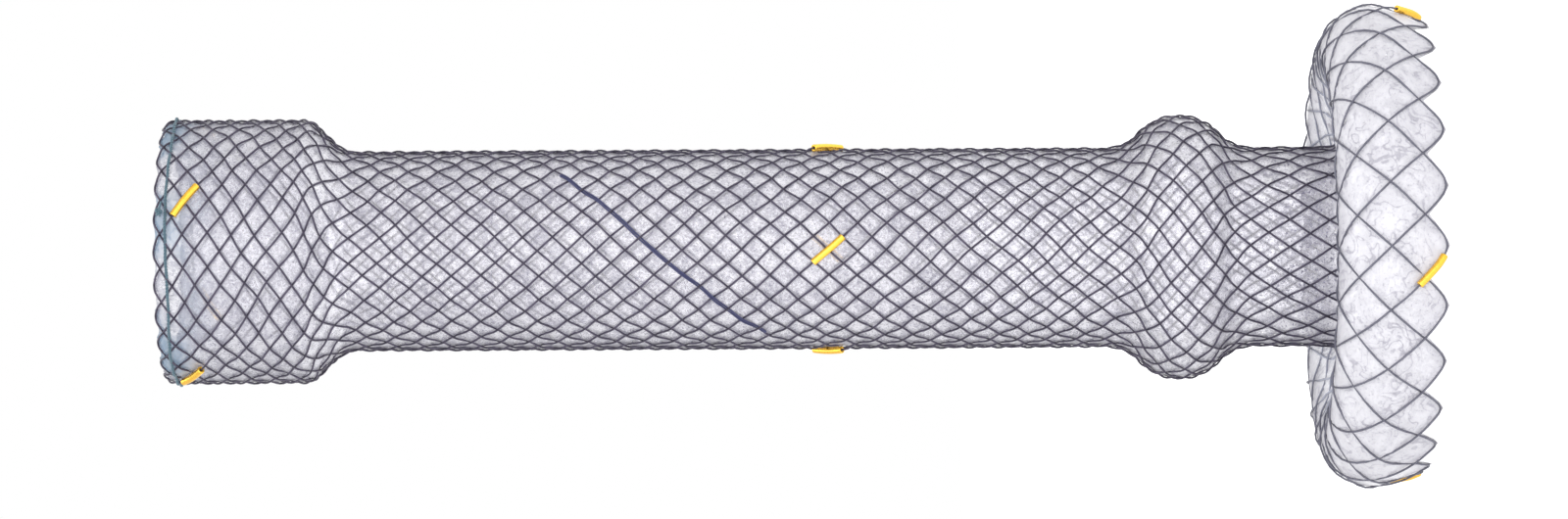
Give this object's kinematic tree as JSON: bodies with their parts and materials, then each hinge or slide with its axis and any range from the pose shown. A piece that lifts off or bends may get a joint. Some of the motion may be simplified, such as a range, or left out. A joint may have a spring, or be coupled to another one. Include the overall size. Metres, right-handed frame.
{
  "type": "fistula occlusion stent",
  "caption": "Covered braided tube with a flared end, a round bulb, a short neck and a wide cup flange, for closing a fistula from inside.",
  "frame": {"origin": "middle of the flange's rim, on the surface that the stent stands on", "axes": "+Z along the tube, from the flange's rim towards the flare; the markers' first sleeves lie near -Y"},
  "size_m": [0.048, 0.048, 0.1253],
  "materials": {
    "silicone_film": "thin translucent silicone, satin",
    "nitinol_wire": "dark oxide, drawn",
    "gold": "polished",
    "thread": "braided"
  },
  "bodies": {
    "root": {"cover": "silicone_film", "braid_wire_1": "nitinol_wire", "braid_wire_2": "nitinol_wire", "flare_marker_1": "gold", "flare_marker_2": "gold", "flare_marker_3": "gold", "flare_marker_4": "gold", "middle_marker_1": "gold", "middle_marker_2": "gold", "middle_marker_3": "gold", "middle_marker_4": "gold", "flange_marker_1": "gold", "flange_marker_2": "gold", "flange_marker_3": "gold", "flange_marker_4": "gold", "retrieval_thread": "thread"}
  },
  "joints": []
}
